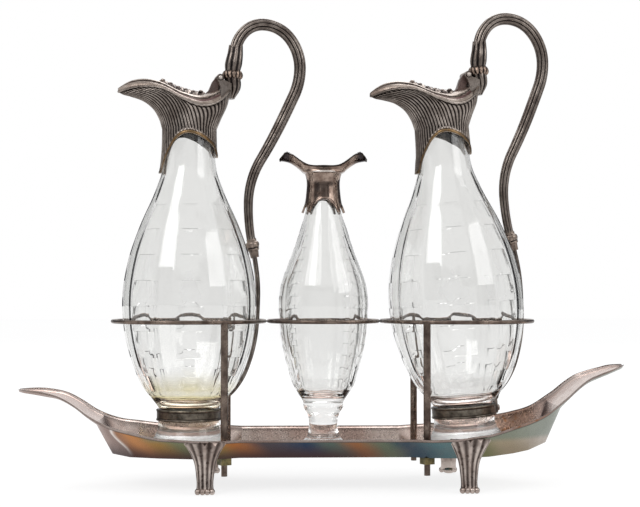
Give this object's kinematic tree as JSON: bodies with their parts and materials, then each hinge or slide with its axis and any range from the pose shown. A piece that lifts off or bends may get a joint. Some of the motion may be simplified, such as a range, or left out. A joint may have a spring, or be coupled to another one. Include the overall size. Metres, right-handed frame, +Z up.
{
  "type": "decanter set",
  "caption": "Antique set of tall cut-glass jugs with silver mounts and hinged lids, with a slender flask between them, held in a ringed gallery on a boat-shaped tray with cast feet.",
  "frame": {"origin": "centre of the tray on the plane that the four feet stand on", "axes": "+X along the tray towards the raised right end, the jugs pour towards -X, -Y is the front and +Z is up"},
  "size_m": [0.41, 0.1324, 0.3228],
  "materials": {
    "tray_silver": "worn silver plate, tarnished in bands of brown, gold and blue",
    "cast_silver": "cast silver plate, dark in the flutes and bright on the ridges",
    "gallery_silver": "brown tarnished silver-plated wire",
    "mount_silver": "fluted silver plate, dark grey in the grooves",
    "handle_silver": "reeded silver plate, dull and tarnished",
    "nut_brass": "dull brass",
    "cut_glass": "clear glass cut in tall panels with stacked notches"
  },
  "bodies": {
    "stand": {"tray": "tray_silver", "foot_front_left": "cast_silver", "foot_front_right": "cast_silver", "foot_rear_left": "cast_silver", "foot_rear_right": "cast_silver", "ring_left": "gallery_silver", "ring_centre": "gallery_silver", "ring_right": "gallery_silver", "post_front_left": "gallery_silver", "post_front_right": "gallery_silver", "post_rear_left": "gallery_silver", "post_rear_right": "gallery_silver", "gallery_nuts": "nut_brass"},
    "jug_left": {"left_jug_glass": "cut_glass", "left_mount": "mount_silver", "left_hinge_pin": "mount_silver", "left_handle": "handle_silver", "left_handle_calyx": "handle_silver", "left_handle_ferrule": "handle_silver", "left_handle_strap": "handle_silver", "left_waist_band": "handle_silver", "left_band_screw": "handle_silver"},
    "lid_left": {"left_lid": "mount_silver", "left_lid_ornament": "mount_silver"},
    "jug_right": {"right_jug_glass": "cut_glass", "right_mount": "mount_silver", "right_hinge_pin": "mount_silver", "right_handle": "handle_silver", "right_handle_calyx": "handle_silver", "right_handle_ferrule": "handle_silver", "right_handle_strap": "handle_silver", "right_waist_band": "handle_silver", "right_band_screw": "handle_silver"},
    "lid_right": {"right_lid": "mount_silver", "right_lid_ornament": "mount_silver"},
    "flask": {"flask_glass": "cut_glass", "flask_mount": "mount_silver"}
  },
  "joints": [
    {"name": "jug_left_lift", "type": "slide", "parent": "stand", "child": "jug_left", "axis": [0, 0, 1], "range_m": [0, 0.12]},
    {"name": "jug_right_lift", "type": "slide", "parent": "stand", "child": "jug_right", "axis": [-0.0767, 0, 0.9971], "range_m": [0, 0.12]},
    {"name": "flask_lift", "type": "slide", "parent": "stand", "child": "flask", "axis": [0, 0, 1], "range_m": [0, 0.1]},
    {"name": "lid_left_hinge", "type": "hinge", "parent": "jug_left", "child": "lid_left", "pos_m": [-0.07101, 0.00352, 0.27535], "axis": [-0.1736, 0.9848, 0], "range_deg": [0, 75]},
    {"name": "lid_right_hinge", "type": "hinge", "parent": "jug_right", "child": "lid_right", "pos_m": [0.09826, 0.00352, 0.27821], "axis": [-0.1731, 0.9848, -0.0133], "range_deg": [0, 75]}
  ]
}
